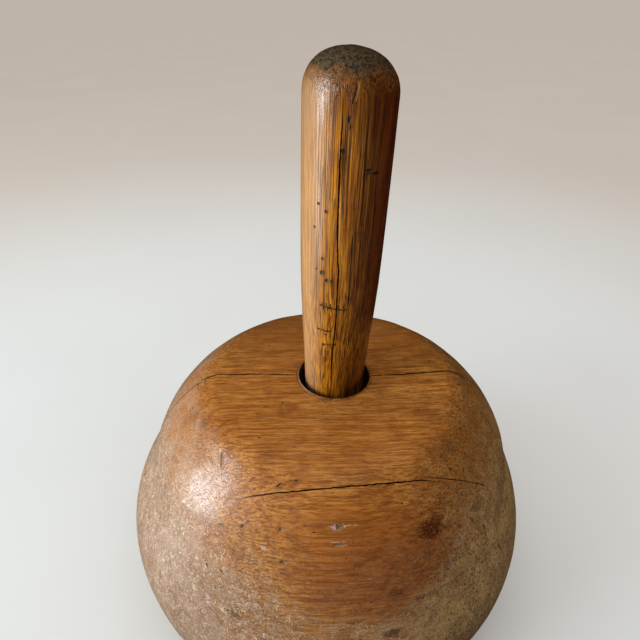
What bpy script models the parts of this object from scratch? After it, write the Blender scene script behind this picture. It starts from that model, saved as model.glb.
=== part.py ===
"""Antique wooden curling stone: a turned hardwood block with an upright handle pegged into its crown.

Metres, +Z up. The origin is the centre of the flat sole. The block's grain runs along X, and the handle
leans a little towards +X, so its socket, tenon and wedge are all built about one leaning axis.
"""

from math import cos, pi, radians, sin

import bmesh
import bpy
from mathutils import Vector

GAP = 0.0003  # left between pieces that touch
SHARP_EDGE = radians(32)  # edges that turn by more than this are not smoothed
WELD_DISTANCE = 1e-6

# Block. Its outline is turned from the crown down as a chain of bends and straight runs. A heading is the
# slope of the outline below horizontal, so 0 degrees runs outwards and 180 degrees runs back along the sole.
# Together the bends make the block 250 mm across its belly, 151 mm high and 210 mm across its sole.
BLOCK_OUTLINE = (
    # bend radius, heading at its end in degrees, straight run that follows
    (1.4800, 2.5, 0.0),  # crown, almost flat
    (0.0220, 37.6, 0.0052),  # edge of the crown
    (0.0702, 79.3, 0.0),  # shoulder
    (-0.0092, 54.4, 0.0),  # cove at the waist, which bends the other way
    (0.0860, 117.0, 0.0),  # belly
    (0.0120, 180.0, 0.0),  # foot
)
BLOCK_OVALITY = 0.955  # across the grain the wood has shrunk more than along it
BLOCK_SIDES = 64
BEND_STEP = radians(6)

# Axis of the socket and the handle, where it meets the level of the crown
SOCKET_OFFSET = 0.0031
HANDLE_LEAN = radians(1.64)

# Socket: a mouth wider than the handle, worn to a funnel, over a straight drilled bore
MOUTH_RADIUS = 0.0203
MOUTH_LAND = 0.004
FUNNEL_RADIUS = 0.0172
FUNNEL_DEPTH = 0.026
BORE_RADIUS = 0.0130
BORE_CHAMFER = 0.003
SOCKET_DEPTH = 0.082
CUTTER_RISE = 0.010  # how far a cutter stands out of what it cuts

# Handle, measured along its own axis from the level of the crown
HANDLE_HEIGHT = 0.1652
GRIP_STATIONS = ((0.000, 0.0166), (0.020, 0.0174), (0.043, 0.0187), (0.067, 0.0196), (0.108, 0.0198))
GRIP_STEPS = 16
CAP_HEIGHT = 0.0180
CAP_FULLNESS = 2.4  # exponent of the rounded top: 2 is an ellipse, and more is squarer
CAP_STEPS = 10
HEEL_DEPTH = 0.0045
HEEL_STEPS = 4
TENON_RADIUS = BORE_RADIUS - GAP
TENON_END = -SOCKET_DEPTH + GAP
TENON_CHAMFER = 0.0012
HANDLE_SIDES = 48

# Saw kerf in the tenon's end and the fox wedge driven into it; both taper upwards
KERF_LENGTH = 0.040
KERF_WIDTH_END = 0.0046
KERF_WIDTH_TIP = 0.0018
KERF_BREADTH = 4 * TENON_RADIUS  # the kerf runs right across the tenon
WEDGE_LENGTH = 0.037
WEDGE_BREADTH = 0.0242


def wood(name, colour, roughness):
    """A Principled material of one plain colour."""
    material = bpy.data.materials.new(name)
    material.use_nodes = True
    shader = material.node_tree.nodes["Principled BSDF"]
    shader.inputs["Base Color"].default_value = (*colour, 1.0)
    shader.inputs["Roughness"].default_value = roughness
    shader.inputs["Metallic"].default_value = 0.0
    material.diffuse_color = (*colour, 1.0)
    return material


def add_object(name, mesh, material=None, parent=None):
    """Links a mesh to the scene as an object, smooth shaded except at its sharp edges."""
    mesh.shade_smooth()
    mesh.set_sharp_from_angle(angle=SHARP_EDGE)
    obj = bpy.data.objects.new(name, mesh)
    bpy.context.scene.collection.objects.link(obj)
    obj.parent = parent
    if material:
        mesh.materials.append(material)
    return obj


def turned_mesh(name, outline, sides, ovality=1.0):
    """A mesh turned about Z from an outline of (radius, height) points that starts and ends on the axis."""
    bm = bmesh.new()
    verts = [bm.verts.new((radius, 0.0, height)) for radius, height in outline]
    edges = [bm.edges.new(pair) for pair in zip(verts, verts[1:])]
    bmesh.ops.spin(
        bm, geom=verts + edges, cent=(0, 0, 0), axis=(0, 0, 1), angle=2 * pi, steps=sides, use_merge=True
    )
    bmesh.ops.remove_doubles(bm, verts=bm.verts, dist=WELD_DISTANCE)
    bmesh.ops.recalc_face_normals(bm, faces=bm.faces)
    bmesh.ops.scale(bm, vec=(1.0, ovality, 1.0), verts=bm.verts)
    mesh = bpy.data.meshes.new(name)
    bm.to_mesh(mesh)
    bm.free()
    return mesh


def tapered_slab_mesh(name, breadth, width_low, width_high, low, high):
    """A slab that is widest in X at its low end, with its breadth along Y."""
    bm = bmesh.new()
    rings = []
    for width, height in ((width_low, low), (width_high, high)):
        x, y = width / 2, breadth / 2
        rings.append([bm.verts.new((sx * x, sy * y, height)) for sx, sy in ((1, 1), (-1, 1), (-1, -1), (1, -1))])
    bm.faces.new(rings[0])
    bm.faces.new(rings[1])
    for i in range(4):
        j = (i + 1) % 4
        bm.faces.new((rings[0][i], rings[0][j], rings[1][j], rings[1][i]))
    bmesh.ops.recalc_face_normals(bm, faces=bm.faces)
    mesh = bpy.data.meshes.new(name)
    bm.to_mesh(mesh)
    bm.free()
    return mesh


def cut(obj, cutter):
    """Takes a cutter away from an object with a Boolean that stays on it."""
    cutter.hide_render = True
    cutter.display_type = "WIRE"
    modifier = obj.modifiers.new("cut_" + cutter.name, "BOOLEAN")
    modifier.operation = "DIFFERENCE"
    modifier.solver = "EXACT"
    modifier.object = cutter


def block_outline():
    """The block's (radius, height) points from the middle of the crown down to the middle of the sole."""
    points = [Vector((0.0, 0.0))]
    heading = 0.0
    for bend, end_degrees, run in BLOCK_OUTLINE:
        end = radians(end_degrees)
        start, corner = heading, points[-1]
        steps = max(3, round(abs(end - start) / BEND_STEP))
        for step in range(1, steps + 1):
            heading = start + (end - start) * step / steps
            points.append(corner + bend * Vector((sin(heading) - sin(start), cos(heading) - cos(start))))
        if run:
            points.append(points[-1] + run * Vector((cos(heading), -sin(heading))))
    sole = points[-1].y
    return [(point.x, point.y - sole) for point in points] + [(0.0, 0.0)]


def socket_outline():
    """The socket's (radius, height) points about its own axis, with the crown at height 0."""
    return [
        (0.0, CUTTER_RISE),
        (MOUTH_RADIUS, CUTTER_RISE),
        (MOUTH_RADIUS, -MOUTH_LAND),
        (FUNNEL_RADIUS, -FUNNEL_DEPTH),
        (BORE_RADIUS, -FUNNEL_DEPTH - BORE_CHAMFER),
        (BORE_RADIUS, -SOCKET_DEPTH),
        (0.0, -SOCKET_DEPTH),
    ]


def evenly(start, end, steps):
    """Values from start to end in equal steps, without start itself."""
    return [start + (end - start) * step / steps for step in range(1, steps + 1)]


def grip_radius_at(height):
    """The grip's radius: a smooth curve through its stations, straight above the last of them."""
    heights, radii = zip(*GRIP_STATIONS)
    if height >= heights[-1]:
        return radii[-1]
    slopes = [(r1 - r0) / (h1 - h0) for (h0, r0), (h1, r1) in zip(GRIP_STATIONS, GRIP_STATIONS[1:])]
    tangents = [slopes[0]] + [(a + b) / 2 for a, b in zip(slopes, slopes[1:])] + [0.0]
    i = max(k for k in range(len(slopes)) if heights[k] <= height)
    span = heights[i + 1] - heights[i]
    t = (height - heights[i]) / span
    ends = radii[i] * (1 + 2 * t) * (1 - t) ** 2 + radii[i + 1] * t * t * (3 - 2 * t)
    return ends + span * t * (1 - t) * (tangents[i] * (1 - t) - tangents[i + 1] * t)


def handle_outline():
    """The handle's (radius, height) points: rounded top, grip, heel rounded in to a straight tenon."""
    grip_top = HANDLE_HEIGHT - CAP_HEIGHT
    grip_radius = GRIP_STATIONS[-1][1]
    points = [(0.0, HANDLE_HEIGHT)]
    for step in range(1, CAP_STEPS + 1):
        turn = pi / 2 * step / CAP_STEPS
        radius = grip_radius * sin(turn) ** (2 / CAP_FULLNESS)
        points.append((radius, grip_top + CAP_HEIGHT * max(cos(turn), 0.0) ** (2 / CAP_FULLNESS)))
    for height in evenly(grip_top, 0.0, GRIP_STEPS):
        points.append((grip_radius_at(height), height))
    heel_bend = GRIP_STATIONS[0][1] - TENON_RADIUS
    for step in range(HEEL_STEPS + 1):
        turn = pi / 2 * step / HEEL_STEPS
        points.append((TENON_RADIUS + heel_bend * cos(turn), -HEEL_DEPTH - heel_bend * sin(turn)))
    points += [
        (TENON_RADIUS, TENON_END + TENON_CHAMFER),
        (TENON_RADIUS - TENON_CHAMFER, TENON_END),
        (0.0, TENON_END),
    ]
    return points


def main():
    for obj in list(bpy.data.objects):
        bpy.data.objects.remove(obj)

    outline = block_outline()
    crown = outline[0][1]

    stone_body = add_object(
        "stone_body",
        turned_mesh("stone_body", outline, BLOCK_SIDES, BLOCK_OVALITY),
        wood("stone_wood", (0.36, 0.19, 0.08), 0.45),
    )

    handle_axis = bpy.data.objects.new("handle_axis", None)
    handle_axis.location = (SOCKET_OFFSET, 0.0, crown)
    handle_axis.rotation_euler = (0.0, HANDLE_LEAN, 0.0)
    bpy.context.scene.collection.objects.link(handle_axis)

    socket = add_object("socket", turned_mesh("socket", socket_outline(), HANDLE_SIDES), parent=handle_axis)
    cut(stone_body, socket)

    handle = add_object(
        "handle",
        turned_mesh("handle", handle_outline(), HANDLE_SIDES),
        wood("handle_wood", (0.38, 0.17, 0.04), 0.32),
        parent=handle_axis,
    )
    kerf_taper = (KERF_WIDTH_END - KERF_WIDTH_TIP) / KERF_LENGTH
    # the kerf's cutter runs past the tenon's end, and its sides keep their taper there
    kerf_mesh = tapered_slab_mesh(
        "kerf",
        KERF_BREADTH,
        KERF_WIDTH_END + kerf_taper * CUTTER_RISE,
        KERF_WIDTH_TIP,
        TENON_END - CUTTER_RISE,
        TENON_END + KERF_LENGTH,
    )
    cut(handle, add_object("kerf", kerf_mesh, parent=handle_axis))

    wedge_width = KERF_WIDTH_END - 2 * GAP
    wedge_mesh = tapered_slab_mesh(
        "tenon_wedge",
        WEDGE_BREADTH,
        wedge_width,
        wedge_width - kerf_taper * WEDGE_LENGTH,
        TENON_END,
        TENON_END + WEDGE_LENGTH,
    )
    add_object("tenon_wedge", wedge_mesh, wood("wedge_wood", (0.40, 0.27, 0.14), 0.6), handle_axis)


main()
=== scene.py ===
from functools import partial, reduce
from math import cos, pi, radians, sin

import bmesh
import bpy
import numpy as np
from mathutils import Matrix, Vector, noise


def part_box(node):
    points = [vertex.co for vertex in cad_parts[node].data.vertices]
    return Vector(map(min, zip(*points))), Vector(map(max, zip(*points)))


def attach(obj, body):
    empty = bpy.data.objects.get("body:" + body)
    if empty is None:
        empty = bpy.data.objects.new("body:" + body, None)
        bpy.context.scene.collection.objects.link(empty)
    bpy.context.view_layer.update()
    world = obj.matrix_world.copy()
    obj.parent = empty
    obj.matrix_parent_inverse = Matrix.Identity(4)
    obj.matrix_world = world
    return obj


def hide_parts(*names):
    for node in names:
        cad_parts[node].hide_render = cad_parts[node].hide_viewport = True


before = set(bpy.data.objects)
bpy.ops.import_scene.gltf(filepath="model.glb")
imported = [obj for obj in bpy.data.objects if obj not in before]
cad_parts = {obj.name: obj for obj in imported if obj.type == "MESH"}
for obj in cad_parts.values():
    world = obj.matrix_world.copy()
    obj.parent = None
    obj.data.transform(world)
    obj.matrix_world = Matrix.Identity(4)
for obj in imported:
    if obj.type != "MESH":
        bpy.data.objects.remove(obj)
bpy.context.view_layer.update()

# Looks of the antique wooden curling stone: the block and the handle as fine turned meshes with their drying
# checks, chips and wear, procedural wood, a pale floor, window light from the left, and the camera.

MM = 0.001

# ----- sizes shared with the CAD, in metres

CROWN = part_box("stone_body")[1].z
HANDLE_LEAN = radians(1.64)
SOCKET_OFFSET = 0.0031
SOCKET_AXIS = Matrix.Translation((SOCKET_OFFSET, 0.0, CROWN)) @ Matrix.Rotation(HANDLE_LEAN, 4, "Y")

BLOCK_OUTLINE = (
    # bend radius, heading at its end in degrees, straight run that follows
    (1.4800, 2.5, 0.0),
    (0.0220, 37.6, 0.0052),
    (0.0702, 79.3, 0.0),
    (-0.0092, 54.4, 0.0),
    (0.0860, 117.0, 0.0),
    (0.0120, 180.0, 0.0),
)
BLOCK_OVALITY = 0.955
MOUTH_RADIUS = 0.0203
SOCKET_DEPTH = 0.082
SOCKET_OUTLINE = (
    # radius, depth below the crown
    (MOUTH_RADIUS, 0.0),
    (0.0200, 0.004),
    (0.0172, 0.026),
    (0.0130, 0.029),
    (0.0130, SOCKET_DEPTH),
)

HANDLE_HEIGHT = 0.1652
GRIP_STATIONS = ((0.000, 0.0166), (0.020, 0.0174), (0.043, 0.0187), (0.067, 0.0196), (0.108, 0.0198))
GRIP_RADIUS = GRIP_STATIONS[-1][1]
CAP_HEIGHT = 0.0180
CAP_FULLNESS = 2.4
HEEL_DEPTH = 0.0045
TENON_RADIUS = 0.0127
TENON_END = 0.0817
TENON_CHAMFER = 0.0012
KERF_LENGTH = 0.040
KERF_OVERRUN = 0.010  # how far the kerf's cutter runs past the tenon's end
KERF_WIDTH_END = 0.0046
KERF_WIDTH_TIP = 0.0018


# ----- meshes

BLADE_EDGE = 0.3  # a crack's width at its bottom, as a share of its width at the skin
PEBBLE_RAGGEDNESS = 0.35


def resampled(points, spacing):
    """Points along a polyline at an even spacing, ends included."""
    points = np.array(points, float)
    along = np.concatenate([[0.0], np.cumsum(np.hypot(*np.diff(points, axis=0).T))])
    wanted = np.linspace(0.0, along[-1], max(2, round(along[-1] / spacing) + 1))
    return np.stack([np.interp(wanted, along, values) for values in points.T], axis=1)


def noise_at(points, period, seed):
    """Smooth noise of about -1 to 1 at each point."""
    shift = Vector((seed * 17.3, seed * 5.1, -seed * 9.7))
    return np.array([noise.noise(Vector(p) / period + shift) for p in points.tolist()])


def bell(distance, width):
    """1 at no distance, and smoothly less on both sides."""
    return np.exp(-np.square(distance / width))


def ring_mesh(name, rings):
    """A closed mesh from an array (rings, sides, 3), with a point closing each end."""
    count, sides = rings.shape[:2]
    verts = np.concatenate([rings.reshape(-1, 3), rings[0].mean(0)[None], rings[-1].mean(0)[None]])
    start, end = count * sides, count * sides + 1
    faces = []
    for i in range(count - 1):
        for j in range(sides):
            k = (j + 1) % sides
            faces.append((i * sides + j, i * sides + k, (i + 1) * sides + k, (i + 1) * sides + j))
    for j in range(sides):
        k = (j + 1) % sides
        faces.append((start, k, j))
        faces.append((end, (count - 1) * sides + j, (count - 1) * sides + k))
    mesh = bpy.data.meshes.new(name)
    mesh.from_pydata(verts.tolist(), [], faces)
    mesh.validate()
    return mesh


def vectors(items, name):
    """A vector of each item, as an array of rows."""
    found = np.empty(len(items) * 3, np.float32)
    items.foreach_get(name, found)
    return found.reshape(-1, 3).astype(float)


def skin_of(mesh):
    """A mesh's points and their normals."""
    return vectors(mesh.vertices, "co"), vectors(mesh.vertex_normals, "vector")


def move_vertices(mesh, co):
    mesh.vertices.foreach_set("co", co.astype(np.float32).ravel())
    mesh.update()


def add_object(name, data):
    """A new object in the scene, made from a mesh, a lamp or a camera."""
    obj = bpy.data.objects.new(name, data)
    bpy.context.scene.collection.objects.link(obj)
    return obj


def subtract(obj, cutters):
    """Cuts the cutters out of the object for good, and deletes them."""
    for cutter in cutters:
        modifier = obj.modifiers.new("cut", "BOOLEAN")
        modifier.operation = "DIFFERENCE"
        modifier.solver = "MANIFOLD"
        modifier.material_mode = "TRANSFER"
        modifier.object = cutter
    evaluated = obj.evaluated_get(bpy.context.evaluated_depsgraph_get())
    mesh = bpy.data.meshes.new_from_object(evaluated)
    obj.modifiers.clear()
    obj.data = mesh
    for cutter in cutters:
        bpy.data.objects.remove(cutter)


def smooth(mesh, angle):
    """Shades a mesh smooth, apart from edges that turn by more than an angle in degrees."""
    mesh.shade_smooth()
    mesh.set_sharp_from_angle(angle=radians(angle))


def cutter_of(name, bm, material):
    """A cutter, in the material that it leaves on what it cuts."""
    mesh = bpy.data.meshes.new(name)
    bm.to_mesh(mesh)
    bm.free()
    mesh.materials.append(material)
    return add_object(name, mesh)


def bar(name, sections, material):
    """A closed bar through sections of four corners each."""
    bm = bmesh.new()
    rings = [[bm.verts.new(corner) for corner in corners] for corners in sections]
    for a, b in zip(rings, rings[1:]):
        for i in range(4):
            j = (i + 1) % 4
            bm.faces.new((a[i], a[j], b[j], b[i]))
    bm.faces.new(rings[0])
    bm.faces.new(rings[-1])
    bmesh.ops.recalc_face_normals(bm, faces=bm.faces)
    return cutter_of(name, bm, material)


def blade(name, outer, inner, across, widths, material):
    """A thin curved blade that cuts a crack: it runs from outer to inner points and is widest outside."""
    sections = []
    for out, deep, side, width in zip(outer, inner, across, widths):
        half = np.array(side) * width / 2
        edge = half * BLADE_EDGE
        sections.append((out + half, out - half, deep - edge, deep + edge))
    return bar(name, sections, material)


def dent(name, place, out, size, turn, seed, material):
    """A ragged pebble that knocks a chip out of a skin whose normal is out. Its half sizes in mm are
    across, along and into the skin."""
    bm = bmesh.new()
    bmesh.ops.create_icosphere(bm, subdivisions=3, radius=1.0)
    for vert in bm.verts:
        swell = 1 + PEBBLE_RAGGEDNESS * noise.noise(vert.co * 1.4 + Vector((seed * 3.1, 0, 0)))
        vert.co = vert.co * Vector(size) * MM * swell
    out = Vector(out)
    across = (Vector((0, 0, 1)).cross(out) if abs(out.z) < 0.99 else Vector((1, 0, 0))).normalized()
    frame_on_skin = Matrix((across, out.cross(across), out)).transposed().to_4x4()
    spin = Matrix.Rotation(radians(turn), 4, "Z")
    bm.transform(Matrix.Translation(place) @ frame_on_skin @ spin)
    return cutter_of(name, bm, material)


# ----- the block


def block_outline(step):
    """The block's (radius, height) points from the middle of the crown down to the edge of the sole."""
    points = [Vector((0.0, 0.0))]
    heading = 0.0
    for bend, end_degrees, run in BLOCK_OUTLINE:
        end = radians(end_degrees)
        start, corner = heading, points[-1]
        steps = max(3, round(abs(bend * (end - start)) / step))
        for i in range(1, steps + 1):
            heading = start + (end - start) * i / steps
            points.append(corner + bend * Vector((sin(heading) - sin(start), cos(heading) - cos(start))))
        if run:
            points.append(points[-1] + run * Vector((cos(heading), -sin(heading))))
    sole = points[-1].y
    return [(point.x, point.y - sole) for point in points]


# Drying checks, as (x, y) stations in mm seen from above. They follow the grain and step sideways.
HEART_CHECK_LEFT = (
    (-13, -0.9), (-39.4, 0.2), (-64.4, 1.1), (-73.1, -0.8),
    (-80.8, -3.4), (-90, -5.8), (-103, -8),
)
HEART_CHECK_RIGHT = (
    (18, -2), (41.5, 0.2), (60, 3), (71.9, 5.2),
    (79.3, 6), (87.4, 6.9), (92.5, 8), (101, 8.8),
)
FRONT_CHECK_LEFT = (
    (-45, -72.2), (-32.6, -72.8), (-16.2, -73.3), (-0.2, -72.7),
    (16, -71.1), (32.6, -68.5), (45.2, -65.7), (54, -64.5),
)
FRONT_CHECK_RIGHT = ((45, -64.5), (53.1, -63.1), (61.4, -61.2), (70.4, -58.7), (82, -54.5))
BACK_CHECK = ((-30, 68), (-10, 66.8), (15, 67.2), (36, 70))
CRACKS = (
    # path, widest gap and greatest depth in mm
    (HEART_CHECK_LEFT, 1.2, 14),
    (HEART_CHECK_RIGHT, 1.2, 16),
    (FRONT_CHECK_LEFT, 1, 10),
    (FRONT_CHECK_RIGHT, 0.7, 7),
    (BACK_CHECK, 0.5, 5),
)

# Chips and dents, in mm: a point near the skin, half sizes across, along and into it, a turn
CHIPS = (
    ((1.2, -20.8, 151), (1.3, 0.7, 0.7), 10),
    ((-2, -22.6, 150.8), (1.2, 0.6, 0.5), -40),
    ((17.8, -23.7, 150.7), (1.1, 0.6, 0.8), 0),
    ((-23.7, -71.1, 144.1), (1.4, 0.7, 0.9), 60),
    ((-16.3, -70, 146.3), (0.9, 0.6, 0.8), 30),
    ((-53.3, -54.8, 144), (3.4, 0.6, 0.4), -55),
    ((-22.5, -85.1, 131.5), (1.4, 0.9, 0.6), 20),
    ((-40.4, -81.6, 128.2), (1.6, 1.1, 0.7), 50),
    ((4.2, -85.7, 133.9), (2.4, 1.6, 0.6), 15),
    ((4, -90.5, 128), (3.4, 0.7, 0.5), 0),
    ((-21.1, -93.6, 119.1), (1.7, 1.1, 0.6), 0),
    ((-58.4, -85.2, 102), (1.4, 0.8, 0.4), -20),
    ((-51.8, -88.6, 103.7), (1.6, 0.7, 0.4), -25),
    ((-112.4, -19, 87.3), (1.2, 2, 0.8), 0),
    ((-75.4, -2.5, 145.8), (3, 1.6, 0.8), 15),
    ((-70, -1.8, 148.4), (2.4, 1.1, 0.7), -10),
    ((78.4, -67.6, 105.9), (0.9, 3, 0.8), 20),
    ((69.6, -70.6, 116.7), (0.8, 2.4, 0.8), 25),
    ((92.9, -65.2, 85.2), (0.9, 2.6, 0.8), 10),
    ((65, 58, 138), (2.6, 1.2, 0.7), 35),
    ((-20, 96, 115), (3, 1.2, 0.8), -15),
    ((-56, 90, 90), (1.8, 1.4, 0.8), 70),
    ((113, 30, 76), (1.2, 3, 0.9), 15),
    ((30, 108, 42), (3.2, 1.4, 1), 5),
)
BLOCK_SIDES = 384
BEND_STEP = 0.0010  # between points on the outline's bends
RING_SPACING = 0.00135  # between rings down the skin
SOCKET_RING_SPACING = 0.0025
SOCKET_FLOOR_RADIUS = 0.0015  # innermost ring on the socket's floor
CROWN_DEPTH = 0.010  # the crown reaches this far down
OVAL_FROM = 0.060  # radius from which the crown's rings are the block's own oval
LIP_BREADTH = 0.004  # the crown next to the mouth, which has rings of its own
LIP_ROUNDING = 0.0008
LIP_RINGS = 5
SOLE_RADIUS = 0.002  # innermost ring on the sole
SOLE_RINGS = 30


def build_block():
    outline = resampled(block_outline(BEND_STEP), RING_SPACING)
    skin = [point for point in outline if point[0] > MOUTH_RADIUS + LIP_BREADTH]
    crown = [point for point in outline if point[1] > CROWN - CROWN_DEPTH]
    turn = np.linspace(0, 2 * pi, BLOCK_SIDES, endpoint=False)
    unit = np.stack([np.cos(turn), np.sin(turn)], axis=1)
    rings = []
    # the socket's wall, from its floor up to the mouth
    wall = [(SOCKET_FLOOR_RADIUS, SOCKET_DEPTH)] + list(SOCKET_OUTLINE[::-1])
    for radius, depth in resampled(wall, SOCKET_RING_SPACING):
        rings.append(np.array([SOCKET_AXIS @ Vector((radius * c, radius * s, -depth)) for c, s in unit]))
    # the crown, whose rings pass from the socket's circle to the block's oval
    for radius in np.linspace(MOUTH_RADIUS + LIP_ROUNDING, skin[0][0], LIP_RINGS):
        rings.append(skin_ring(unit, radius, np.interp(radius, *zip(*crown))))
    for radius, height in skin[1:]:
        rings.append(skin_ring(unit, radius, height))
    for radius in np.linspace(outline[-1][0], SOLE_RADIUS, SOLE_RINGS)[1:]:
        rings.append(skin_ring(unit, radius, 0.0))
    mesh = ring_mesh("stone_block", np.array(rings)[::-1])
    wear_block(mesh, outline)
    mesh.materials.append(block_wood())
    block = add_object("stone_block", mesh)

    # the checks' walls are near black: painted shade deep in the cracks, with some grime
    grime = plain_wood("check_shade_and_grime", (30, 17, 9), (46, 28, 14), 0.8)
    chipped = plain_wood("chipped_wood", (96, 62, 34), (170, 134, 92), 0.6)
    blades = []
    for n, (stations, gap, depth) in enumerate(CRACKS):
        blades.append(crack_blade(mesh, n, np.array(stations) * MM, gap * MM, depth * MM, grime))
    subtract(block, blades)
    skin_points, skin_normals = skin_of(mesh)
    cutters = []
    for n, (place, size, turn) in enumerate(CHIPS):
        at = np.argmin(np.sum(np.square(skin_points - np.array(place) * MM), axis=1))
        cutters.append(dent(f"chip_{n}", skin_points[at], skin_normals[at], size, turn, n, chipped))
    subtract(block, cutters)
    smooth(block.data, 38)
    return block


def skin_ring(unit, radius, height):
    """A ring of the skin: a circle about the socket at the mouth, and further out the block's own oval."""
    on_crown = height > CROWN - CROWN_DEPTH
    share = min(1.0, (radius - MOUTH_RADIUS) / (OVAL_FROM - MOUTH_RADIUS)) if on_crown else 1.0
    oval = 1 + (BLOCK_OVALITY - 1) * share
    centre = SOCKET_OFFSET * (1 - share)
    x, y = centre + radius * unit[:, 0], radius * oval * unit[:, 1]
    return np.stack([x, y, np.full(len(unit), height)], axis=1)


def ease(value, low, high):
    """0 below low, 1 above high and smooth between, for arrays; low may be the larger."""
    share = np.clip((value - low) / (high - low), 0, 1)
    return share * share * (3 - 2 * share)


def cove_fill(outline):
    """How far out a straight edge laid over the cove stands from it, as (heights, distances)."""
    points = sorted((height, radius) for radius, height in outline if height > 0.03 and radius > 0.05)
    hull = []
    for point in points:
        while len(hull) > 1 and turns_left(hull[-2], hull[-1], point):
            hull.pop()
        hull.append(point)
    heights, radii = np.array(points).T
    return heights, np.interp(heights, *zip(*hull)) - radii


def turns_left(a, b, c):
    """Whether the way from a through b to c turns left, or runs straight on."""
    return (b[0] - a[0]) * (c[1] - a[1]) - (b[1] - a[1]) * (c[0] - a[0]) >= 0


def wear_block(mesh, outline):
    """Hand turning, shrinkage and knocks: moves the block's skin by up to about two millimetres."""
    co, nor = skin_of(mesh)
    x, y, z = co.T
    from_socket = np.hypot(x - SOCKET_OFFSET, y)
    outside = (from_socket > MOUTH_RADIUS + 0.0005) & ((z > 0.0015) & (z < CROWN + 0.001))
    side = np.abs(x) / np.maximum(np.hypot(x, y), 1e-6)  # 1 at the ends of the grain
    lift = 0.00030 * noise_at(co, 0.055, 1) + 0.00014 * noise_at(co, 0.016, 2)
    lift += 0.00010 * noise_at(co * [0.15, 1, 1], 0.0040, 3)
    lip = bell(from_socket - MOUTH_RADIUS, 0.0016) * (z > CROWN - 0.003)
    lift -= lip * (0.00035 + 0.0003 * noise_at(co, 0.008, 4))
    # the cove runs out at the front and back, and the crown's edge is worn softer there
    lift += np.interp(z, *cove_fill(outline)) * ease(side, 0.93, 0.78)
    lift -= 0.0010 * bell(from_socket - 0.067, 0.010) * ease(side, 0.62, 0.30) * (z > CROWN - 0.02)
    co = co + nor * (lift * outside)[:, None]
    # the block leans a little: its upper lobe to the right, its belly to the left
    lean = 0.0010 * ease(z, 0.095, 0.118) * ease(from_socket, 0.035, 0.070)
    lean -= 0.0011 * ease(z, 0.098, 0.072) * ease(z, 0.000, 0.030)
    co[:, 0] += lean * outside
    move_vertices(mesh, co)


def surface_height(mesh, path):
    """Height of the block's upper skin over each (x, y) point, from its nearest vertices."""
    co = vectors(mesh.vertices, "co")
    top = co[(co[:, 2] > 0.08) & (np.hypot(co[:, 0] - SOCKET_OFFSET, co[:, 1]) > MOUTH_RADIUS)]
    heights = []
    for x, y in path:
        near = np.argsort(np.hypot(top[:, 0] - x, top[:, 1] - y))[:4]
        heights.append(top[near, 2].mean())
    return np.array(heights)


def noise_along(path, x_scale, y_scale, layer):
    """Smooth noise of about -1 to 1 at each (x, y) point."""
    return np.array([noise.noise(Vector((x * x_scale, y * y_scale, layer))) for x, y in path])


CRACK_STEP = 0.0008


def crack_blade(mesh, n, stations, gap, depth, material):
    """The cutter of a check: a ragged blade that hangs down through the skin and thins out at both ends."""
    path = resampled(stations, CRACK_STEP)
    path[:, 1] += 0.00025 * noise_along(path, 400, 400, n) + 0.00016 * noise_along(path, 1500, 1, n)
    along = np.gradient(path, axis=0)
    across = np.stack([-along[:, 1], along[:, 0], 0 * along[:, 0]], axis=1) / np.hypot(*along.T)[:, None]
    share = np.linspace(0, 1, len(path))
    fade = np.minimum(1, np.minimum(share, 1 - share) * 7)
    ragged = 1 + 0.5 * noise_along(path, 900, 900, 5 + n)
    floor = surface_height(mesh, path) - depth * fade - 0.0004
    outer = np.column_stack([path, np.full(len(path), CROWN + 0.01)])
    inner = np.column_stack([path, floor])
    return blade(f"check_{n}", outer, inner, across, gap * (0.15 + 0.85 * fade) * ragged, material)


# ----- the handle

VIEWED_SIDE = -92.7  # degrees about the handle's axis, the side that the long check is on
# long check: degrees from the viewed side, height above the crown in mm
HANDLE_CHECK = ((-8.2, 153), (-8.1, 142), (-8.6, 127), (-7.9, 111), (-7.2, 97.5), (-5.9, 88),
                (-3.2, 78), (-2.8, 56.3), (-3.7, 41), (-5.7, 31), (-6.2, 20.6), (-4, 6))
HANDLE_CHECK_DEPTH = 0.0045
HANDLE_CHECK_STEP = 0.0012
HANDLE_CHECK_GAP = 0.00085
# chips: degrees from the viewed side, height and half sizes across, along and into the skin in mm, turn
HANDLE_CHIPS = (
    (4.7, 151.8, (0.5, 3.4, 0.9), -14),
    (-0.4, 142.2, (0.5, 1.4, 0.5), 0),
    (-33, 152.5, (2.2, 1.2, 0.3), 20),
    (-14, 154, (1.6, 0.9, 0.3), -10),
    (18, 156, (2, 1, 0.3), 15),
    (-34, 107.9, (0.8, 0.6, 0.4), 0),
    (-39.6, 96.9, (0.8, 0.8, 0.4), 0),
    (-22.4, 105.3, (1, 0.8, 0.4), 30),
    (-25.4, 75.7, (1, 1.2, 0.5), 0),
    (-17.4, 72.2, (1.2, 0.9, 0.4), 20),
    (-22, 57.8, (2, 0.5, 0.5), 2),
    (-12, 57.4, (2, 0.5, 0.6), -4),
    (1.5, 57, (2.4, 0.5, 0.5), 3),
    (-22, 42.8, (2.4, 0.3, 0.4), -5),
    (-12, 34.5, (2.2, 0.3, 0.4), -4),
    (27, 122.2, (1.6, 0.8, 0.4), 25),
    (140, 120, (0.6, 3, 0.5), 4),
    (200, 70, (1.4, 0.8, 0.5), 30),
    (95, 95, (0.5, 4, 0.5), -3),
)
HANDLE_SIDES = 320
HANDLE_RING_SPACING = 0.0009
CAP_STEPS = 40
GRIP_STEPS = 60
HEEL_STEPS = 8
TENON_END_RINGS = 6


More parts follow.
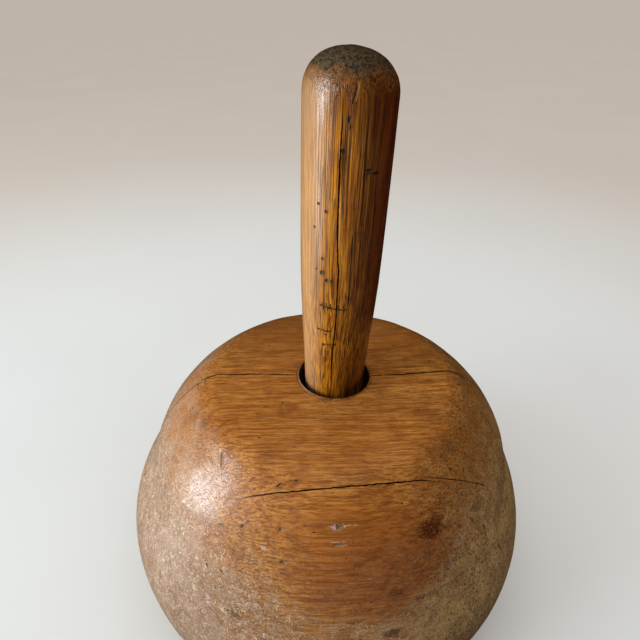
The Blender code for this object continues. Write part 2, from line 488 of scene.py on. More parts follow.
def handle_outline():
    """The handle's (radius, height) points down its outer side, from the top to the tenon's end."""
    grip_top = HANDLE_HEIGHT - CAP_HEIGHT
    squareness = 2 / CAP_FULLNESS
    points = []
    for turn in np.linspace(0, pi / 2, CAP_STEPS + 1):
        height = grip_top + CAP_HEIGHT * max(cos(turn), 0.0) ** squareness
        points.append((GRIP_RADIUS * sin(turn) ** squareness, height))
    for height in np.linspace(grip_top, 0.0, GRIP_STEPS)[1:]:
        points.append((grip_radius_at(height), height))
    heel_bend = GRIP_STATIONS[0][1] - TENON_RADIUS
    for turn in np.linspace(0, pi / 2, HEEL_STEPS + 1):
        points.append((TENON_RADIUS + heel_bend * cos(turn), -HEEL_DEPTH - heel_bend * sin(turn)))
    points += [(TENON_RADIUS, -TENON_END + TENON_CHAMFER), (TENON_RADIUS - TENON_CHAMFER, -TENON_END)]
    return points


def grip_radius_at(height):
    """The grip's radius: a smooth curve through its stations, straight above the last of them."""
    heights, radii = zip(*GRIP_STATIONS)
    if height >= heights[-1]:
        return radii[-1]
    slopes = [(r1 - r0) / (h1 - h0) for (h0, r0), (h1, r1) in zip(GRIP_STATIONS, GRIP_STATIONS[1:])]
    tangents = [slopes[0]] + [(a + b) / 2 for a, b in zip(slopes, slopes[1:])] + [0.0]
    i = max(k for k in range(len(slopes)) if heights[k] <= height)
    span = heights[i + 1] - heights[i]
    t = (height - heights[i]) / span
    ends = radii[i] * (1 + 2 * t) * (1 - t) ** 2 + radii[i + 1] * t * t * (3 - 2 * t)
    return ends + span * t * (1 - t) * (tangents[i] * (1 - t) - tangents[i + 1] * t)


def outward(angle):
    """The direction out of the handle at an angle in degrees from the viewed side."""
    turn = radians(VIEWED_SIDE + angle)
    return Vector((cos(turn), sin(turn), 0.0))


def build_handle():
    turn = np.linspace(0, 2 * pi, HANDLE_SIDES, endpoint=False)
    profile = resampled(handle_outline(), HANDLE_RING_SPACING)
    profile[0, 0] = 0.0006  # the top's first ring, about the point that closes it
    end_radii = np.linspace(TENON_RADIUS - TENON_CHAMFER, 0.001, TENON_END_RINGS)[1:]
    rings = [turned_ring(turn, radius, height) for radius, height in profile]
    rings += [turned_ring(turn, radius, -TENON_END) for radius in end_radii]
    mesh = ring_mesh("handle_grip", np.array(rings)[::-1])
    co, nor = skin_of(mesh)
    shown = ease(co[:, 2], -0.006, 0.0)
    lift = 0.00018 * noise_at(co * [1, 1, 0.4], 0.02, 5) + 0.00007 * noise_at(co * [1, 1, 0.06], 0.0011, 6)
    lift += 0.00012 * noise_at(co, 0.004, 7) * ease(co[:, 2], 0.146, 0.156)
    co += nor * (lift * shown)[:, None]
    # the top is worn down towards the right
    co[:, 2] -= 0.0012 * ease(co[:, 0], -0.004, 0.020) * ease(co[:, 2], 0.147, 0.160)
    move_vertices(mesh, co)
    mesh.materials.append(handle_wood())
    grip = add_object("handle_grip", mesh)

    # the check's walls are near black: painted shade deep in the crack, with some grime
    grime = plain_wood("handle_check_grime", (18, 9, 4), (30, 16, 8), 0.8)
    gouged = plain_wood("gouged_wood", (50, 26, 10), (120, 84, 50), 0.55)
    cutters = [handle_check_blade(grime), kerf_cutter(raw_wood("kerf_wood"))]
    for n, (angle, height, size, turn) in enumerate(HANDLE_CHIPS):
        out = outward(angle)
        place = out * grip_radius_at(height * MM) + Vector((0, 0, height * MM))
        cutters.append(dent(f"gouge_{n}", place, out, size, turn, 40 + n, gouged))
    subtract(grip, cutters)
    grip.data.transform(SOCKET_AXIS)
    smooth(grip.data, 40)
    return grip


def handle_check_blade(material):
    """The cutter of the long check, which wanders a little and thins out at both ends."""
    path = [(radians(angle), height * MM) for angle, height in HANDLE_CHECK]
    stations = resampled(path, HANDLE_CHECK_STEP)
    outer, inner, across, widths = [], [], [], []
    for n, (angle, height) in enumerate(stations):
        out = outward(np.degrees(angle) + 0.5 * noise.noise(Vector((0, 0, height * 260))))
        fade = min(1.0, n / 20, (len(stations) - 1 - n) / 34)
        ragged = 1 + 0.5 * noise.noise(Vector((9, 0, height * 700)))
        radius = grip_radius_at(height)
        outer.append(np.array(out * (radius + 0.002)) + [0, 0, height])
        inner.append(np.array(out * (radius - 0.0006 - HANDLE_CHECK_DEPTH * fade)) + [0, 0, height])
        across.append((-out.y, out.x, 0.0))
        widths.append(HANDLE_CHECK_GAP * (0.25 + 0.75 * fade) * ragged)
    return blade("handle_check", outer, inner, across, widths, material)


def turned_ring(turn, radius, height):
    return np.stack([radius * np.cos(turn), radius * np.sin(turn), np.full(len(turn), height)], axis=1)


def kerf_cutter(material):
    """The saw kerf in the tenon's end, which the wedge spreads: it runs right across and tapers upwards."""
    taper = (KERF_WIDTH_END - KERF_WIDTH_TIP) / KERF_LENGTH
    low = KERF_WIDTH_END / 2 + taper * KERF_OVERRUN / 2
    high = KERF_WIDTH_TIP / 2
    reach = 2 * TENON_RADIUS
    sections = [
        [(side_x * half, side_y * reach, height) for side_x, side_y in ((1, 1), (-1, 1), (-1, -1), (1, -1))]
        for half, height in ((low, -TENON_END - KERF_OVERRUN), (high, KERF_LENGTH - TENON_END))
    ]
    return bar("kerf", sections, material)


# ----- materials


class Graph:
    """Writes a material's nodes in reading order, with places and sizes in mm."""

    def __init__(self, name, coat=0.0, coat_roughness=0.3, specular=0.3):
        self.material = bpy.data.materials.new(name)
        self.material.use_nodes = True
        self.nodes = self.material.node_tree.nodes
        self.links = self.material.node_tree.links
        self.shader = self.nodes["Principled BSDF"]
        self.shader.inputs["Coat Weight"].default_value = coat
        self.shader.inputs["Coat Roughness"].default_value = coat_roughness
        self.shader.inputs["Specular IOR Level"].default_value = specular

    def connect(self, value, socket):
        if hasattr(value, "is_output"):
            self.links.new(value, socket)
        else:
            socket.default_value = value

    def add(self, kind, out=0, inputs=None, **settings):
        node = self.nodes.new(kind)
        for key, value in settings.items():
            setattr(node, key, value)
        for key, value in (inputs or {}).items():
            self.connect(value, node.inputs[key])
        return node.outputs[out]

    def position(self):
        """The place on the object, in mm."""
        where = self.add("ShaderNodeTexCoord", "Object")
        return self.add("ShaderNodeVectorMath", 0, {0: where, 3: 1 / MM}, operation="SCALE")

    def split(self, vector):
        node = self.nodes.new("ShaderNodeSeparateXYZ")
        self.connect(vector, node.inputs[0])
        return node.outputs

    def vector(self, operation, a, b, out=0):
        return self.add("ShaderNodeVectorMath", out, {0: a, 1: b}, operation=operation)

    def stretch(self, vector, x, y, z):
        return self.vector("MULTIPLY", vector, (x, y, z))

    def noise(self, vector, scale, detail=3.0, roughness=0.55, distortion=0.0, out="Fac"):
        inputs = {"Vector": vector, "Scale": scale, "Detail": detail, "Roughness": roughness}
        inputs["Distortion"] = distortion
        return self.add("ShaderNodeTexNoise", out, inputs)

    def cells(self, vector, scale):
        """The distance to the nearest of many scattered points."""
        return self.add("ShaderNodeTexVoronoi", "Distance", {"Vector": vector, "Scale": scale})

    def math(self, operation, a, b=0.0):
        return self.add("ShaderNodeMath", 0, {0: a, 1: b}, operation=operation)

    def times(self, *values):
        return reduce(partial(self.math, "MULTIPLY"), values)

    def plus(self, *values):
        return reduce(partial(self.math, "ADD"), values)

    def span(self, value, low, high, to_low=0.0, to_high=1.0):
        """Maps low..high onto to_low..to_high, smoothly and clamped; low may be the larger."""
        if low > high:
            low, high, to_low, to_high = high, low, to_high, to_low
        inputs = {"Value": value, "From Min": low, "From Max": high, "To Min": to_low, "To Max": to_high}
        return self.add("ShaderNodeMapRange", 0, inputs, interpolation_type="SMOOTHSTEP")

    def mix(self, share, a, b):
        """From colour a to colour b, which are sockets 6 and 7, as the share goes from 0 to 1."""
        return self.add("ShaderNodeMix", 2, {"Factor": share, 6: a, 7: b}, data_type="RGBA")

    def tones(self, value, low, high, dark, light):
        """From a dark sRGB colour to a light one as a value goes from low to high."""
        return self.mix(self.span(value, low, high), shade(*dark), shade(*light))

    def over(self, wood, share, *colour):
        """The wood with an sRGB colour laid over it."""
        return self.mix(share, wood, shade(*colour))

    def length(self, vector):
        return self.vector("LENGTH", vector, (0, 0, 0), "Value")

    def centred(self, value):
        """A noise of 0 to 1 as -0.5 to 0.5."""
        return self.math("SUBTRACT", value, 0.5)

    def drifted(self, vector, period, amount):
        """The place, moved about a little so that what is drawn with it doesn't run ruler-straight."""
        wander = self.noise(vector, 1 / period, 2.0, out="Color")
        wander = self.vector("SUBTRACT", wander, (0.5, 0.5, 0.5))
        return self.vector("ADD", vector, self.vector("MULTIPLY", wander, amount))

    def ridges(self, vector, scale, detail, sharp, distortion=0.0):
        """Thin winding lines where a noise crosses its middle value, 1 on the line."""
        field = self.noise(vector, scale, detail, 0.5, distortion)
        away = self.math("ABSOLUTE", self.centred(field))
        return self.span(away, sharp, 0.0)

    def near(self, place, centre, size, ragged=0.0, blotch=None):
        """1 at a spot's centre, 0 outside its half sizes, with a ragged edge."""
        away = self.vector("DIVIDE", self.vector("SUBTRACT", place, centre), size)
        distance = self.length(away)
        if ragged:
            distance = self.plus(distance, self.times(self.centred(blotch), ragged))
        return self.span(distance, 1.0, 0.45)

    def scratch(self, place, start, end, width):
        """1 on a straight scratch between two places."""
        run = Vector(end) - Vector(start)
        offset = self.vector("SUBTRACT", place, start)
        along = self.vector("DOT_PRODUCT", offset, tuple(run), "Value")
        along = self.math("DIVIDE", along, run.length_squared)
        along = self.math("MINIMUM", self.math("MAXIMUM", along, 0.0), 1.0)
        foot = self.add("ShaderNodeVectorMath", 0, {0: tuple(run), 3: along}, operation="SCALE")
        distance = self.length(self.vector("SUBTRACT", offset, foot))
        return self.span(distance, width, width * 0.3)

    def bump(self, height, distance, strength, normal=None):
        """The normal of a skin that stands up by a height of 0 to 1 over a distance in metres."""
        inputs = {"Height": height, "Distance": distance, "Strength": strength}
        if normal is not None:
            inputs["Normal"] = normal
        return self.add("ShaderNodeBump", 0, inputs)

    def finish(self, colour, roughness, normal, coat_normal=None):
        for name, value in (("Base Color", colour), ("Roughness", roughness), ("Normal", normal)):
            self.connect(value, self.shader.inputs[name])
        if coat_normal is not None:
            self.connect(coat_normal, self.shader.inputs["Coat Normal"])
        return self.material


def shade(red, green, blue):
    """An sRGB colour of 0 to 255 as the linear RGBA that nodes take."""
    def linear(value):
        value /= 255
        return value / 12.92 if value <= 0.04045 else ((value + 0.055) / 1.055) ** 2.4
    return (linear(red), linear(green), linear(blue), 1.0)


def plain_wood(name, dark, light, roughness):
    """Raw wood, or wood darkened by painted shade and grime, inside cracks and chips."""
    g = Graph(name)
    speckle = g.noise(g.position(), 1.6, 4.0, 0.65)
    return g.finish(g.tones(speckle, 0.35, 0.65, dark, light), roughness, g.bump(speckle, 0.0003, 0.6))


# Marks on the block, in mm: scratches run from a start to an end
CROWN_SCRATCH = ((-25.1, -23.5, 150.4), (-21.1, -38.4, 150))
GRAIN_LINES = (
    ((-56, -30.3, 149.4), (-20, -31.3, 150.4)),
    ((-57, -38.6, 148.8), (-23, -36.6, 150.2)),
    ((14, -31.4, 150.2), (48, -27.6, 149.8)),
    ((-12, -47, 149.6), (44, -39.6, 149.2)),
    ((-34, -51.5, 149), (4, -51, 149.4)),
    ((2, -112, 71), (44, -106, 73)),
    ((-14, -108, 80), (22, -107.5, 82)),
    ((30, -104, 86), (58, -95, 90)),
)
FRONT_SCRATCHES = (
    ((-2, -84.9, 134.4), (13, -84.2, 134.2)),
    ((0, -89.6, 129), (9, -89.4, 128.9)),
    ((-4, -92.3, 123.6), (12, -92.2, 123.4)),
    ((4, -96.2, 116.4), (18, -94.6, 116.4)),
    ((8, -98.6, 112), (24, -96.4, 112.4)),
    ((-69, -68.2, 121.5), (-62.4, -68.4, 127.4)),
    ((-62.4, -68.4, 127.4), (-58, -72, 127)),
)
LILAC_SPOTS = (
    # centre, half sizes
    ((2.5, -85.4, 134.4), (3, 2.4, 1.6)),
    ((-30.8, -88.4, 123), (1.6, 2, 1.2)),
    ((-1.5, -100.7, 101.9), (3.2, 2.4, 1.5)),
    ((-60, -93, 88), (1.8, 2, 1.2)),
)
DARK_PATCH = ((46.6, -80.8, 125.9), (10, 9, 6))
STAINS = (
    # centre, half sizes, strength
    ((29.7, -107.2, 83.3), (7, 6, 3), 0.75),
    ((-45.1, -99.9, 86.7), (6, 5, 2), 0.75),
    ((30, -98, 103), (6, 6, 3), 0.6),
    ((46, -93, 96), (12, 8, 2.2), 0.5),
    ((58, -84, 105), (8, 7, 3), 0.5),
    ((56, -26, 148), (17, 15, 8), 0.3),
    ((76, 4, 144), (9, 9, 6), 0.5),
    ((52, -50, 146), (16, 12, 8), 0.25),
    ((72, -62, 119), (9, 9, 6), 0.5),
    ((-53, -54, 143.4), (2, 3.5, 2.4), 0.65),
    ((-72, -26, 143), (7, 6, 5), 0.45),
    ((-66, -34, 146), (4, 4, 4), 0.45),
    ((-48, 52, 148), (16, 10, 8), 0.35),
    ((30, 92, 118), (14, 8, 9), 0.45),
    ((-70, 70, 100), (10, 10, 12), 0.4),
)


def block_wood():
    g = Graph("block_wood", coat=0.55, coat_roughness=0.22, specular=0.25)
    place = g.position()
    x, y, z = g.split(place)
    facing = g.split(g.add("ShaderNodeNewGeometry", "Normal"))
    ends = g.math("ABSOLUTE", facing[0])

    # the grain runs along X and swings back on the right
    swing = g.times(g.math("POWER", g.math("MAXIMUM", x, 0.0), 2.0), 0.0011)
    swung = g.add("ShaderNodeCombineXYZ", 0, {0: x, 1: g.math("SUBTRACT", y, swing), 2: z})
    grain = g.drifted(g.stretch(swung, 0.25, 1, 1), 34, (0, 5, 5))
    grain = g.stretch(grain, 4, 1, 1)

    blotch = g.noise(place, 0.085, 4.0, 0.62)
    patch = g.noise(g.stretch(place, 0.6, 1, 1), 0.024, 3.0, 0.55)
    fibre = g.noise(g.stretch(grain, 0.035, 1, 1), 0.85, 4.0, 0.72)
    fine = g.noise(g.stretch(grain, 0.07, 1, 1), 1.9, 3.0, 0.70)
    speckle = g.noise(g.drifted(place, 6, (4, 4, 4)), 0.90, 4.0, 0.70)
    cloud = g.noise(g.drifted(place, 9, (8, 8, 8)), 0.13, 3.0, 0.6)

    # growth rings about a heart low in the block: thin dark lines that come and go
    heart = g.vector("SUBTRACT", g.stretch(grain, 0.02, 1, 1), (0, 3, 56))
    ring = g.length(heart)
    waver = g.noise(g.stretch(grain, 0.05, 1, 1), 0.10, 2.0)
    ring = g.math("FRACT", g.plus(g.times(ring, 0.42), g.times(waver, 2.4)))
    late = g.times(g.span(ring, 0.55, 0.93), g.span(ring, 1.0, 0.96))
    late = g.times(late, g.span(patch, 0.35, 0.62, 0.05, 0.30), g.span(ends, 0.60, 0.20))

    # worn and dry on the end grain and low on the sides, polished by hands at the middle of the front
    low = g.span(z, 128, 84, 0.0, 0.50)
    polished = g.near(place, (20, -96, 118), (50, 44, 34))
    dry = g.plus(ends, low, g.times(g.centred(cloud), 0.9), g.times(polished, -0.5))
    dry = g.span(dry, 0.20, 1.10)

    tone = g.plus(g.times(fibre, 0.6), g.times(fine, 0.4))
    wood = g.tones(tone, 0.40, 0.60, (120, 68, 22), (194, 132, 64))
    wood = g.over(wood, g.times(g.span(patch, 0.40, 0.62), 0.40), 166, 98, 34)
    wood = g.over(wood, g.times(g.span(blotch, 0.48, 0.66), 0.45), 128, 66, 26)
    handled = g.tones(tone, 0.40, 0.60, (138, 70, 18), (164, 92, 28))
    wood = g.mix(g.times(polished, 0.65), wood, handled)
    # painted shade: the wood darker towards the back
    wood = g.over(wood, g.times(g.span(y, -20, 60), 0.65), 108, 66, 28)
    wood = g.over(wood, late, 84, 46, 16)

    # the dry wood is a pinkish tan at the left and olive brown at the right
    mottle = g.plus(g.times(speckle, 0.50), g.times(patch, 0.20), g.times(cloud, 0.30))
    left_end = g.tones(mottle, 0.37, 0.63, (114, 86, 66), (166, 141, 119))
    right_end = g.tones(mottle, 0.37, 0.63, (130, 96, 50), (212, 170, 106))
    # painted shade: the right shoulder darker, on the side away from the light
    painted_shade_shoulder = g.times(g.span(x, 34, 72), g.span(z, 118, 136), g.span(z, 150, 144))
    wood = g.mix(g.times(dry, 0.85), wood, g.mix(g.span(x, -45, 60), left_end, right_end))
    wood = g.over(wood, g.times(painted_shade_shoulder, 0.45), 98, 54, 16)

    # pores: dark dashes along the grain, and steep pits in the dry end grain
    dashes = g.noise(g.stretch(grain, 0.10, 1, 1), 2.0, 2.0, 0.6)
    dashes = g.times(g.span(dashes, 0.58, 0.67), g.span(ends, 0.70, 0.30))
    pits = g.noise(g.stretch(g.drifted(place, 14, (4, 4, 4)), 1, 1, 0.34), 1.15, 3.0, 0.62)
    pits = g.times(g.span(pits, 0.570, 0.625), g.span(g.plus(ends, g.times(x, 0.006)), 0.45, 0.85))
    wood = g.over(wood, g.times(dashes, g.span(polished, 0.0, 0.6, 0.50, 0.10)), 84, 46, 18)
    wood = g.over(wood, g.times(pits, 0.75), 56, 40, 20)

    # pale winding fibres that stand up where the surface is worn
    worm = g.times(g.ridges(place, 0.34, 1.0, 0.030, 1.4), g.span(g.noise(place, 0.40, 1.0), 0.44, 0.53))
    other = g.vector("ADD", place, (17, 41, 29))
    twin = g.times(g.ridges(other, 0.50, 1.0, 0.034, 1.4), g.span(g.noise(other, 0.30, 1.0), 0.46, 0.55))
    worm = g.math("MAXIMUM", worm, twin)
    worm = g.times(worm, g.span(z, 140, 118, 0.10, 1.0), g.span(x, 75, 0, 0.35, 1.0))
    wood = g.over(wood, g.times(worm, g.span(dry, 0.0, 0.5, 0.15, 0.85)), 226, 200, 168)

    # stains, the scorched patch, and grime in the socket
    for centre, size, strength in STAINS:
        stain = g.near(place, centre, size, 2.4, speckle)
        wood = g.over(wood, g.times(stain, strength, 0.8), 66, 48, 26)
    scorch = g.near(place, *DARK_PATCH, 1.6, speckle)
    wood = g.over(wood, g.times(scorch, g.span(fine, 0.64, 0.46, 0.40, 0.90)), 76, 22, 1)

    from_axis = g.length(g.stretch(g.vector("SUBTRACT", place, (SOCKET_OFFSET / MM, 0, 0)), 1, 1, 0))
    socket = g.span(from_axis, 20.6, 19.9)
    wood = g.mix(socket, wood, g.tones(z, 148, 118, (62, 36, 18), (122, 88, 52)))
    lip = g.times(g.span(from_axis, 22.6, 20.4), g.span(speckle, 0.30, 0.62, 0.15, 0.75))
    wood = g.over(wood, lip, 66, 38, 18)
    sole = g.span(g.plus(z, g.times(blotch, 3.0)), 4.5, 1.0)
    scuffed = g.tones(speckle, 0.35, 0.65, (92, 70, 48), (150, 124, 92))
    wood = g.mix(g.times(sole, 0.6), wood, scuffed)

    # small dark specks, lilac scuffs, scratches and long dark grain lines
    loose = g.drifted(place, 1.4, (1.8, 1.8, 1.8))
    spots = g.times(g.span(g.cells(g.stretch(loose, 0.7, 1, 1.1), 0.15), 0.11, 0.05),
                    g.span(g.noise(g.vector("ADD", place, (31, 7, 5)), 0.07, 1.0), 0.52, 0.60))
    wood = g.over(wood, g.times(spots, 0.8), 44, 28, 16)
    for centre, size in LILAC_SPOTS:
        wood = g.over(wood, g.times(g.near(loose, centre, size, 1.2, speckle), 0.75), 186, 160, 168)
    scored = 0.0
    for start, end in FRONT_SCRATCHES:
        line = g.times(g.scratch(loose, start, end, 0.6), g.span(fibre, 0.42, 0.60))
        scored = g.math("MAXIMUM", line, scored)
    line = g.scratch(place, *CROWN_SCRATCH, 0.32)
    scored = g.math("MAXIMUM", line, scored)
    wood = g.over(wood, g.times(scored, 0.7), 214, 188, 164)
    for start, end in GRAIN_LINES:
        line = g.scratch(g.drifted(place, 9, (0, 1.6, 1.6)), start, end, 0.5)
        wood = g.over(wood, g.times(line, g.span(fine, 0.38, 0.6, 0.15, 0.8)), 62, 36, 16)
    ink = g.near(place, CROWN_SCRATCH[0], (1.1, 1.1, 2))
    wood = g.over(wood, g.times(ink, 0.8), 62, 52, 66)

    rough = g.plus(g.span(blotch, 0.35, 0.68, 0.34, 0.50), g.times(dry, 0.12), g.times(fine, 0.08))
    rough = g.plus(rough, g.times(g.math("MAXIMUM", socket, sole), 0.3))
    crackle = g.ridges(place, 0.42, 2.0, 0.045, 0.8)
    hairs = g.noise(g.stretch(g.drifted(place, 20, (9, 9, 9)), 0.45, 0.45, 1.8), 1.3, 2.0, 0.5)
    along = g.span(ends, 0.75, 0.30, 0.25, 1.0)
    relief = g.plus(g.times(fibre, 0.45, along), g.times(fine, 0.35, along), g.times(worm, 0.25),
                    g.times(dashes, -0.35), g.times(pits, -0.9), g.times(scored, -0.4))
    normal = g.bump(relief, 0.00026, 0.85)
    skin = g.plus(g.times(crackle, -0.50), g.times(hairs, 0.50), g.times(speckle, 0.25))
    skin_strength = g.span(ends, 0.15, 0.5, 0.25, 0.80)
    normal = g.bump(skin, 0.00026, skin_strength, normal)
    polish = g.bump(g.plus(skin, g.times(relief, 0.3)), 0.00010, skin_strength)
    return g.finish(wood, rough, normal, polish)


# Marks on the handle: degrees from the viewed side, height above the crown and half sizes in mm
GRIP_SPOTS = (
    (-0.6, 142.7, 0.8, 1.2), (0.7, 139.6, 0.6, 1.6), (-5.2, 130.6, 0.9, 1.4), (-22.4, 105.3, 1.6, 1.2),
    (-34, 107.9, 1, 0.9), (-39.6, 96.9, 0.8, 0.9), (-25.7, 82.8, 1, 1.2), (-25, 75.7, 1.9, 2),
    (-17.4, 72.2, 1.8, 1.3), (-11.7, 72.1, 0.9, 1.3), (-34.6, 76.8, 0.9, 0.9), (27, 123.2, 2.6, 0.9),
    (36, 121.6, 2.2, 0.9), (-30, 43, 1.6, 0.9), (-14, 42.9, 2.2, 0.7), (-21, 33.8, 1.2, 1.2),
    (-3, 35.1, 1, 1), (-18, 40.7, 0.8, 0.9), (12.8, 63, 0.8, 2.6), (150, 100, 2, 3),
    (110, 60, 1.2, 5), (210, 40, 2.5, 1.5),
)
# dark and pale scratches: start and end in degrees and mm, half width in mm, and how strongly they show
GRIP_DARK_LINES = (
    ((-27, 58), (-12, 57.4), 0.75, 0.95),
    ((-14, 57.2), (10, 56.8), 0.8, 0.95),
    ((-23.5, 59.8), (-21.5, 56), 0.5, 0.9),
    ((-17.5, 59.6), (-15.5, 55.8), 0.5, 0.9),
    ((-11.5, 59.4), (-10, 55.2), 0.5, 0.9),
    ((-0.5, 59), (1.5, 55), 0.5, 0.85),
    ((6.5, 58.6), (8.5, 55.2), 0.45, 0.75),
    ((-34, 43), (-8, 43.4), 0.4, 0.7),
    ((-22, 34.2), (0, 35.2), 0.4, 0.7),
    ((40.5, 146), (38.8, 118), 0.45, 0.7),
    ((38.8, 118), (40.4, 96), 0.5, 0.8),
    ((40.4, 96), (38.6, 71), 0.45, 0.75),
    ((38.6, 71), (36.3, 44), 0.4, 0.65),
    ((6, 155.4), (2.6, 148.2), 0.45, 0.9),
    ((12.4, 95), (12.8, 60), 0.4, 0.7),
    ((20, 138), (21, 92), 0.35, 0.6),
    ((29, 112), (30, 60), 0.35, 0.6),
)
GRIP_PALE_LINES = (
    ((8.4, 154.6), (5.4, 149), 0.35, 0.5),
    ((-5.6, 110), (-4.6, 90), 0.35, 0.6),
)


def grip_place(g):
    """The place on the handle about its own leaning axis, with the crown at height 0."""
    foot = (SOCKET_OFFSET / MM, 0, CROWN / MM)
    inputs = {"Vector": g.position(), "Center": foot, "Angle": -HANDLE_LEAN}
    upright = g.add("ShaderNodeVectorRotate", 0, inputs, rotation_type="Y_AXIS")
    return g.vector("SUBTRACT", upright, foot)


def on_grip(angle, up):
    """A point on the handle's unrolled skin, in mm, at an angle from the viewed side and a height."""
    return (radians(angle) * GRIP_RADIUS / MM, up, 0)


def grip_lines(g, unrolled, lines):
    """Scratches on the handle's unrolled skin, 1 on the strongest of them."""
    shown = 0.0
    for start, end, width, strength in lines:
        ends = [on_grip(*point) for point in (start, end)]
        shown = g.math("MAXIMUM", g.times(g.scratch(unrolled, *ends, width), strength), shown)
    return shown


def handle_wood():
    g = Graph("handle_wood", coat=0.60, coat_roughness=0.17, specular=0.15)
    place = grip_place(g)
    x, y, height = g.split(place)
    turn = g.math("SUBTRACT", g.math("ARCTAN2", y, x), radians(VIEWED_SIDE))
    unrolled = g.add("ShaderNodeCombineXYZ", 0, {0: g.times(turn, GRIP_RADIUS / MM), 1: height, 2: 0.0})
    grain = g.drifted(g.stretch(place, 1, 1, 0.3), 45, (1.5, 1.5, 0))
    grain = g.stretch(grain, 1, 1, 1 / 0.3)

    blotch = g.noise(place, 0.16, 3.0, 0.6)
    broad = g.noise(g.stretch(grain, 1, 1, 0.05), 0.20, 2.0, 0.5)
    streak = g.noise(g.stretch(grain, 1, 1, 0.03), 1.15, 4.0, 0.70)
    fine = g.noise(g.stretch(grain, 1, 1, 0.05), 2.8, 3.0, 0.6)

    # ring-porous wood: pores crowd into bands, as long dark slots
    ring = g.length(g.stretch(g.vector("SUBTRACT", grain, (-22, 26, 0)), 1, 1, 0))
    band = g.math("FRACT", g.plus(g.times(ring, 0.34), g.times(broad, 1.2)))
    band = g.times(g.span(band, 0.0, 0.35), g.span(band, 0.95, 0.55))
    slots = g.noise(g.stretch(grain, 1, 1, 0.020), 2.6, 1.0, 0.45)
    slots = g.span(g.plus(slots, g.times(band, 0.055), g.times(x, 0.0018)), 0.605, 0.645)
    hairlines = g.span(g.noise(g.stretch(grain, 1, 1, 0.022), 2.9, 1.0, 0.5), 0.54, 0.64)

    pores = g.ridges(g.stretch(grain, 1, 1, 0.010), 0.80, 1.0, 0.085)
    pores = g.times(pores, g.span(g.noise(g.stretch(grain, 1, 1, 0.035), 0.55, 1.0), 0.40, 0.56))

    wood = g.tones(streak, 0.34, 0.66, (164, 88, 5), (212, 142, 32))
    wood = g.over(wood, g.times(g.span(broad, 0.45, 0.62), 0.35), 146, 78, 4)
    wood = g.over(wood, g.times(band, 0.15), 104, 50, 4)
    wood = g.over(wood, g.times(g.span(blotch, 0.50, 0.72), 0.35), 110, 54, 4)
    wood = g.over(wood, g.times(hairlines, 0.45), 76, 32, 2)
    wood = g.over(wood, g.times(slots, 0.70), 48, 20, 2)
    wood = g.over(wood, g.times(pores, 0.85), 38, 15, 2)
    wood = g.over(wood, g.times(g.span(height, 130, 151), 0.55), 88, 42, 4)
    # painted light and shade: paler and pinker at the lit left, redder and darker at the shaded right, and
    # darker towards the foot
    wood = g.over(wood, g.times(g.span(x, -5, -17), 0.50), 202, 162, 120)
    # painted shade on the handle's right side, away from the window
    painted_shade_right = g.times(g.span(x, 2, 15), g.span(height, 10, 70, 0.10, 1.0))
    wood = g.over(wood, g.times(painted_shade_right, 0.80), 94, 24, 1)
    foot = g.times(g.span(height, 46, 6), g.span(x, -4, 12))
    wood = g.over(wood, g.times(foot, 0.30), 92, 36, 10)

    for angle, up, across, along in GRIP_SPOTS:
        spot = g.near(unrolled, on_grip(angle, up), (across, along, 1), 1.4, blotch)
        wood = g.over(wood, g.times(spot, 0.85), 44, 14, 5)
    dark_lines = grip_lines(g, unrolled, GRIP_DARK_LINES)
    wood = g.over(wood, g.times(dark_lines, g.span(fine, 0.30, 0.55, 0.45, 1.0)), 34, 14, 5)
    wood = g.over(wood, grip_lines(g, unrolled, GRIP_PALE_LINES), 206, 158, 104)

    # grime from hands on the end grain of the top, with a mottled edge
    edge = g.plus(height, g.times(g.centred(blotch), 12), g.times(g.centred(streak), 5))
    mottled = g.span(edge, 148, 156)
    top = g.span(edge, 154, 161)
    pitted = g.noise(place, 0.8, 3.0, 0.7)
    stained = g.tones(pitted, 0.38, 0.62, (66, 38, 16), (142, 94, 48))
    wood = g.mix(g.times(mottled, 0.65), wood, stained)
    grime = g.tones(pitted, 0.36, 0.64, (42, 36, 26), (84, 72, 53))
    wood = g.mix(g.times(top, 0.95), wood, grime)

    # the hidden tenon was never polished
    raw = g.span(height, -3.0, -7.0)
    unpolished = g.tones(streak, 0.35, 0.65, (150, 108, 62), (190, 150, 98))
    wood = g.mix(g.times(raw, 0.8), wood, unpolished)

    rough = g.plus(g.span(blotch, 0.35, 0.68, 0.28, 0.40), g.times(slots, 0.25))
    rough = g.plus(rough, g.times(top, 0.04), g.times(raw, 0.3))
    relief = g.plus(g.times(fine, 0.35), g.times(streak, 0.5), g.times(slots, -0.8), g.times(pores, -0.8),
                    g.times(dark_lines, -0.8))
    normal = g.bump(relief, 0.00020, 0.8)
    normal = g.bump(g.times(pitted, mottled), 0.0005, 0.6, normal)
    gloss = g.plus(g.times(relief, 0.5), g.times(pores, -0.4), g.times(pitted, mottled, 5.0))
    polish = g.bump(gloss, 0.00006, 0.8)
    return g.finish(wood, rough, normal, polish)


def raw_wood(name):
    """Split or sawn hardwood that no hand has touched."""
    g = Graph(name)
    place = g.position()
    streak = g.noise(g.stretch(place, 1, 1, 0.04), 1.2, 4.0, 0.65)
    fine = g.noise(g.stretch(place, 1, 1, 0.10), 5.0, 2.0, 0.6)
    wood = g.tones(streak, 0.3, 0.7, (150, 112, 70), (196, 162, 112))
    wood = g.over(wood, g.times(g.span(fine, 0.55, 0.75), 0.5), 118, 82, 46)
    return g.finish(wood, 0.7, g.bump(g.plus(streak, fine), 0.0002, 0.6))


# ----- floor, light and camera


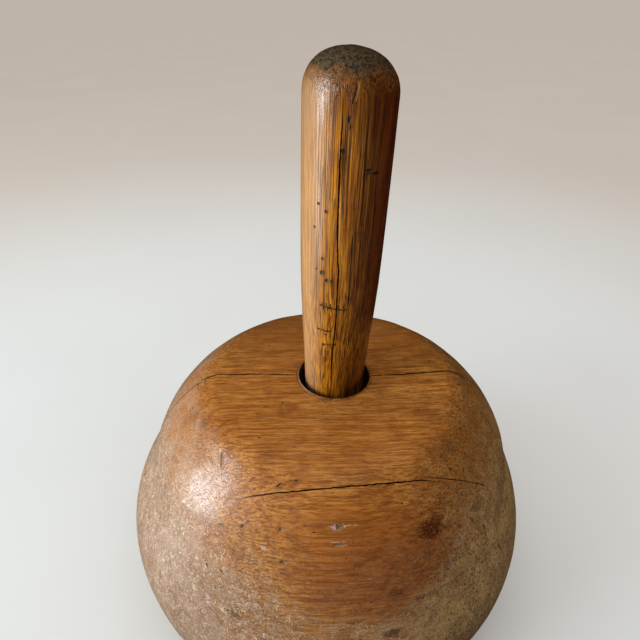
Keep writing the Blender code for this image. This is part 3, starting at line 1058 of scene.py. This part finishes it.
def build_stage():
    """A pale floor, which build_light gives even lamps of its own so that it stays pale to the horizon."""
    far = 60.0
    corners = [(-far, -far, 0), (far, -far, 0), (far, far, 0), (-far, far, 0)]
    mesh = bpy.data.meshes.new("floor")
    mesh.from_pydata(corners, [], [(0, 1, 2, 3)])
    floor = add_object("floor", mesh)
    g = Graph("floor_paint", specular=0.1)
    place = g.position()
    away = g.length(place)
    paint = g.tones(away, 350, 1100, (226, 229, 230), (212, 204, 196))
    mottle = g.noise(place, 0.004, 3.0, 0.5)
    paint = g.mix(g.times(g.span(mottle, 0.4, 0.7), 0.2), paint, shade(212, 214, 216))
    mesh.materials.append(g.finish(paint, 0.6, g.bump(g.noise(place, 0.8, 2.0), 0.00005, 0.2)))
    return floor


def lamp(name, kind, power, colour, place=(0, 0, 2), target=(0, 0, 0)):
    """A lamp that shines from a place to a target and doesn't itself show."""
    data = bpy.data.lights.new(name, kind)
    data.energy = power
    data.color = colour
    obj = add_object(name, data)
    obj.location = place
    obj.rotation_euler = (Vector(target) - Vector(place)).to_track_quat("-Z", "Y").to_euler()
    obj.visible_camera = False
    return obj


def panel(name, width, height, *settings):
    """A rectangular soft lamp, with a lamp's settings after its size."""
    obj = lamp(name, "AREA", *settings)
    obj.data.shape = "RECTANGLE"
    obj.data.size, obj.data.size_y = width, height
    return obj


def shines_on(lamps, floor, state):
    """Makes lamps shine on the floor alone, or on everything but the floor."""
    group = bpy.data.collections.new("lit_" + state.lower())
    group.objects.link(floor)
    group.collection_objects[0].light_linking.link_state = state
    for obj in lamps:
        obj.light_linking.receiver_collection = group


def build_light(floor):
    """Window light from the left and a soft ceiling; the floor has lamps of its own."""
    cool = (0.90, 0.96, 1.0)
    warm = (1.0, 0.95, 0.90)
    key = panel("window", 0.44, 0.84, 22, cool, (-1.22, -0.40, 0.44), (0, 0, 0.12))
    sill = panel("sill", 0.14, 0.14, 0.50, cool, (-0.43, -0.15, 0.10), (0, 0, 0.26))
    ceiling = panel("ceiling", 1.6, 1.6, 32, warm, (0.05, 0.15, 1.9), (0, 0, 0.1))
    ceiling.visible_glossy = False
    shines_on([key, sill, ceiling], floor, "EXCLUDE")
    fill = lamp("floor_fill", "SUN", 2.6, warm)
    fill.data.angle = radians(120)
    soft = panel("floor_window", 0.8, 1.2, 10.5, (0.80, 0.95, 1.0), (-1.22, -0.37, 0.62), (0, 0, 0.18))
    shines_on([fill, soft], floor, "INCLUDE")
    floor.visible_glossy = False

    # a plain pale wall behind, which casts no light and isn't mirrored in the wood
    world = bpy.data.worlds.new("room")
    world.use_nodes = True
    world.node_tree.nodes["Background"].inputs["Color"].default_value = (0.55, 0.48, 0.41, 1)
    bpy.context.scene.world = world
    world.cycles_visibility.diffuse = False
    world.cycles_visibility.glossy = False


def build_camera():
    """The photograph's view: from the front, looking down by about 35 degrees."""
    data = bpy.data.cameras.new("camera")
    data.lens = 27.0
    data.sensor_width = 36.0
    data.clip_start = 0.01
    camera = add_object("camera", data)
    camera.location = (-0.0050, -0.2104, CROWN + 0.1823)
    camera.rotation_euler = (radians(55.5), 0.0, 0.0)
    bpy.context.scene.camera = camera


def main():
    build_camera()
    build_light(build_stage())

    block = build_block()
    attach(block, "stone")
    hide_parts("stone_body")

    grip = build_handle()
    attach(grip, "grip")
    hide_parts("handle")

    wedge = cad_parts["tenon_wedge"]
    wedge.data.materials.clear()
    wedge.data.materials.append(raw_wood("wedge_wood"))
    edges = wedge.modifiers.new("eased_edges", "BEVEL")
    edges.width = 0.0003
    edges.segments = 2

    bpy.context.scene.view_settings.view_transform = "Standard"


main()
